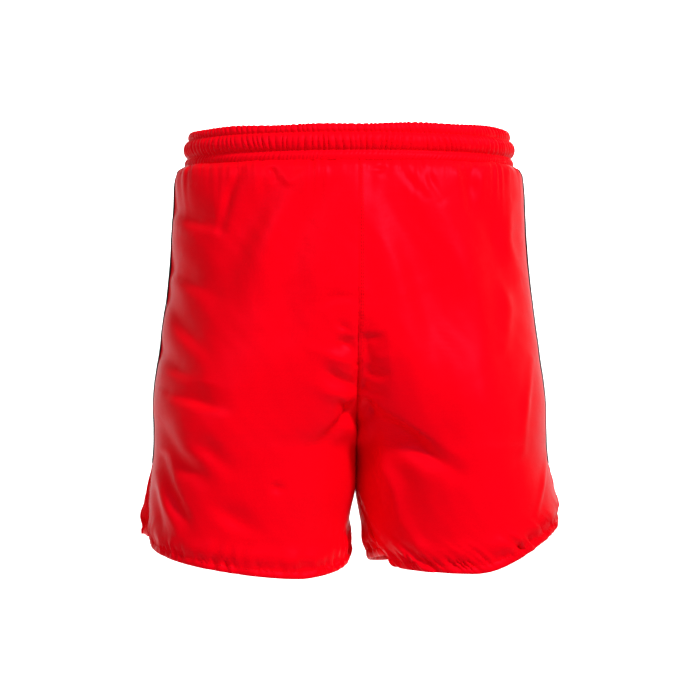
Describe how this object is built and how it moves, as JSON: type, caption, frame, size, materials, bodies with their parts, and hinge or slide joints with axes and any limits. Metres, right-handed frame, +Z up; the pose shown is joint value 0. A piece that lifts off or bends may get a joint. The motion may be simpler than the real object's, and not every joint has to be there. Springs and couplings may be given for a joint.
{
  "type": "running shorts",
  "caption": "Short-legged running shorts with a gathered elastic waistband, side slits and taped side seams, filled out as worn.",
  "frame": {"origin": "middle of the waist opening, half way up the elastic", "axes": "+Z up the garment, +X to the wearer's right, +Y to the wearer's front; the back faces -Y"},
  "size_m": [0.3653, 0.242, 0.3825],
  "materials": {
    "cloth": "bright red woven polyester, soft sheen",
    "waistband": "same red cloth, gathered over elastic",
    "hem": "same red cloth, turned up and stitched",
    "tape": "charcoal woven tape"
  },
  "bodies": {
    "root": {"waistband": "waistband", "back_left": "cloth", "back_right": "cloth", "front_left": "cloth", "front_right": "cloth", "hem_back_left": "hem", "hem_back_right": "hem", "hem_front_left": "hem", "hem_front_right": "hem", "side_tape_left": "tape", "side_tape_right": "tape"}
  },
  "joints": []
}
